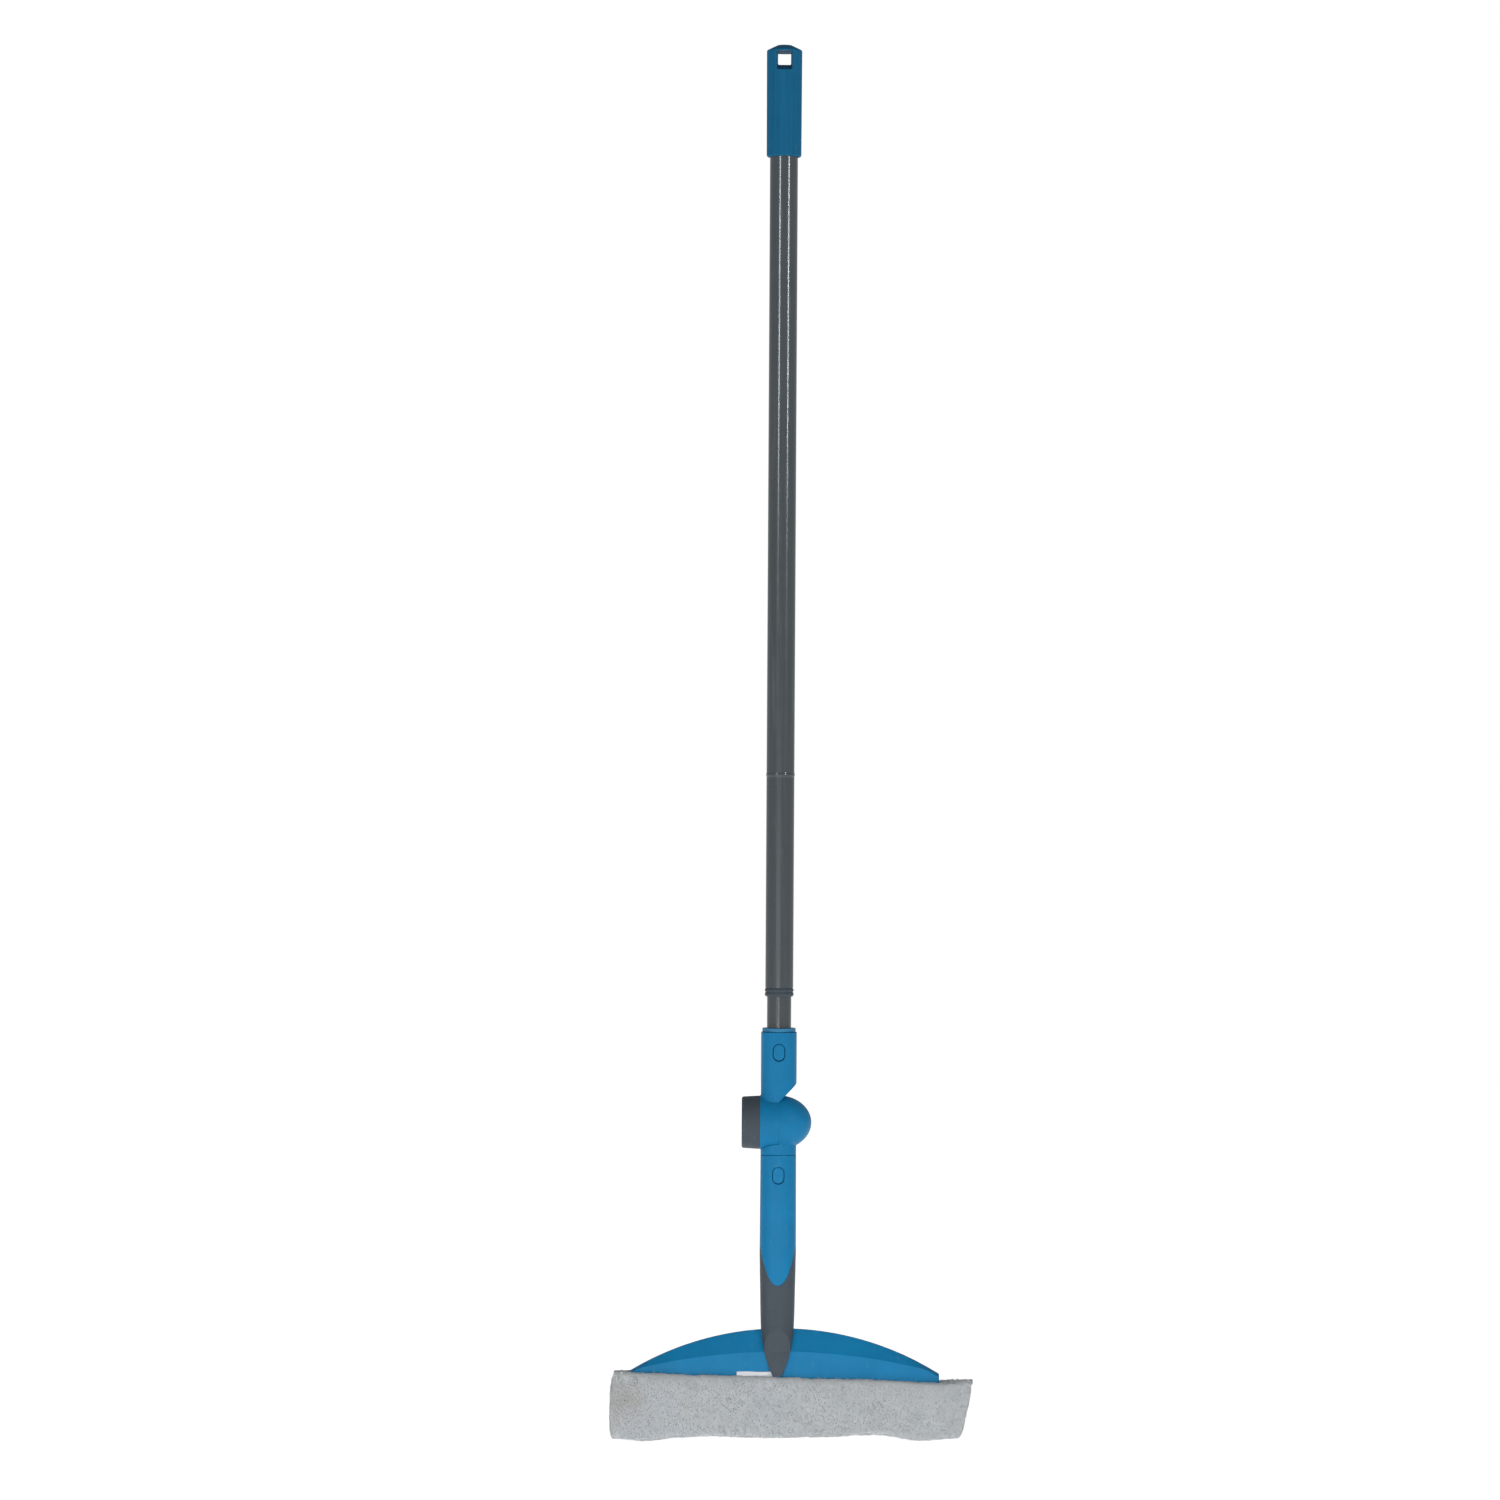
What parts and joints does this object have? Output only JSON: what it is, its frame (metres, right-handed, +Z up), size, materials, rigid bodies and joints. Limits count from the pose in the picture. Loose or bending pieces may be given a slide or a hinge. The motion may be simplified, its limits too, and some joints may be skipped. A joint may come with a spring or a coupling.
{
  "type": "window washer mop",
  "caption": "Window washer: fleece cover on a crescent head, a tilting joint clamped by a knob, and a telescopic twist-lock pole with a hanging cap.",
  "frame": {"origin": "the flat upper face of the hang hole in the end cap, on the pole's axis, where the cap rests on a hook", "axes": "+Z up along the pole from the washer to the end cap, +X along the washer head, away from the clamping knob, +Y from the face with the buttons to the back"},
  "size_m": [0.328, 0.0492, 1.2695],
  "materials": {
    "blue_plastic": "moulded blue plastic, satin with fine moulding marks",
    "grey_plastic": "moulded blue-grey plastic, fine matt grain",
    "tube_paint": "grey powder-coated steel tube, satin, lightly scratched",
    "black_plastic": "black glass-filled plastic",
    "zinc_steel": "bright zinc plate",
    "fleece": "white long-pile fleece",
    "white_tape": "white woven tape"
  },
  "bodies": {
    "pole_outer": {"end_cap": "blue_plastic", "outer_tube": "tube_paint", "guide_bush": "grey_plastic"},
    "lock_sleeve": {"lock_expander": "black_plastic"},
    "lock_wedge": {"lock_cone": "black_plastic"},
    "pole_inner": {"inner_tube": "tube_paint", "lock_plug": "black_plastic", "lock_stop": "zinc_steel", "pole_plug": "blue_plastic", "button_spring_upper": "zinc_steel", "joint_upper": "blue_plastic", "friction_ring": "black_plastic"},
    "pole_button": {"button_upper": "blue_plastic"},
    "clamp_seat": {"thrust_washer": "zinc_steel"},
    "clamp_knob": {"knob": "grey_plastic", "knob_cover": "grey_plastic", "clamp_bolt": "zinc_steel"},
    "head": {"joint_lower": "blue_plastic", "clamp_nut": "zinc_steel", "button_spring_lower": "zinc_steel", "handle_shell": "blue_plastic", "handle_neck": "grey_plastic", "head_front": "blue_plastic", "head_back": "blue_plastic", "head_screw_1": "zinc_steel", "head_screw_2": "zinc_steel", "head_screw_3": "zinc_steel", "head_screw_4": "zinc_steel", "head_screw_5": "zinc_steel", "cover_bar": "black_plastic", "hook_strip_front": "white_tape", "hook_strip_back": "white_tape", "fleece_cover": "fleece", "cover_label": "white_tape"},
    "head_button": {"button_lower": "blue_plastic"}
  },
  "joints": [
    {"name": "pole_extend", "type": "slide", "parent": "pole_outer", "child": "lock_sleeve", "axis": [0, 0, -1], "range_m": [-0.028, 0.5]},
    {"name": "pole_twist", "type": "hinge", "parent": "lock_sleeve", "child": "pole_inner", "pos_m": [0, 0, -0.15], "axis": [0, 0, 1], "range_deg": [0, 360]},
    {"name": "lock_cone_travel", "type": "slide", "parent": "lock_sleeve", "child": "lock_wedge", "axis": [0, 0, 1], "range_m": [0, 0.003]},
    {"name": "head_tilt", "type": "hinge", "parent": "pole_inner", "child": "head", "pos_m": [0, 0, -0.9751], "axis": [1, 0, 0], "range_deg": [-90, 90]},
    {"name": "clamp_travel", "type": "slide", "parent": "pole_inner", "child": "clamp_seat", "axis": [-1, 0, 0], "range_m": [0, 0.00125]},
    {"name": "knob_turn", "type": "hinge", "parent": "clamp_seat", "child": "clamp_knob", "pos_m": [-0.017, 0, -0.9751], "axis": [-1, 0, 0], "range_deg": [0, 360]},
    {"name": "pole_button_press", "type": "slide", "parent": "pole_inner", "child": "pole_button", "axis": [0, 1, 0], "range_m": [0, 0.0036], "stiffness_N_per_m": 600, "springref_m": -0.002, "deforming": ["button_spring_upper"]},
    {"name": "head_button_press", "type": "slide", "parent": "head", "child": "head_button", "axis": [0, 1, 0], "range_m": [0, 0.0036], "stiffness_N_per_m": 600, "springref_m": -0.002, "deforming": ["button_spring_lower"]}
  ],
  "couplings": [
    {"joint": "lock_cone_travel", "follows": "pole_twist", "m_per_rad": 0.00047},
    {"joint": "clamp_travel", "follows": "knob_turn", "m_per_rad": 0.000198}
  ]
}
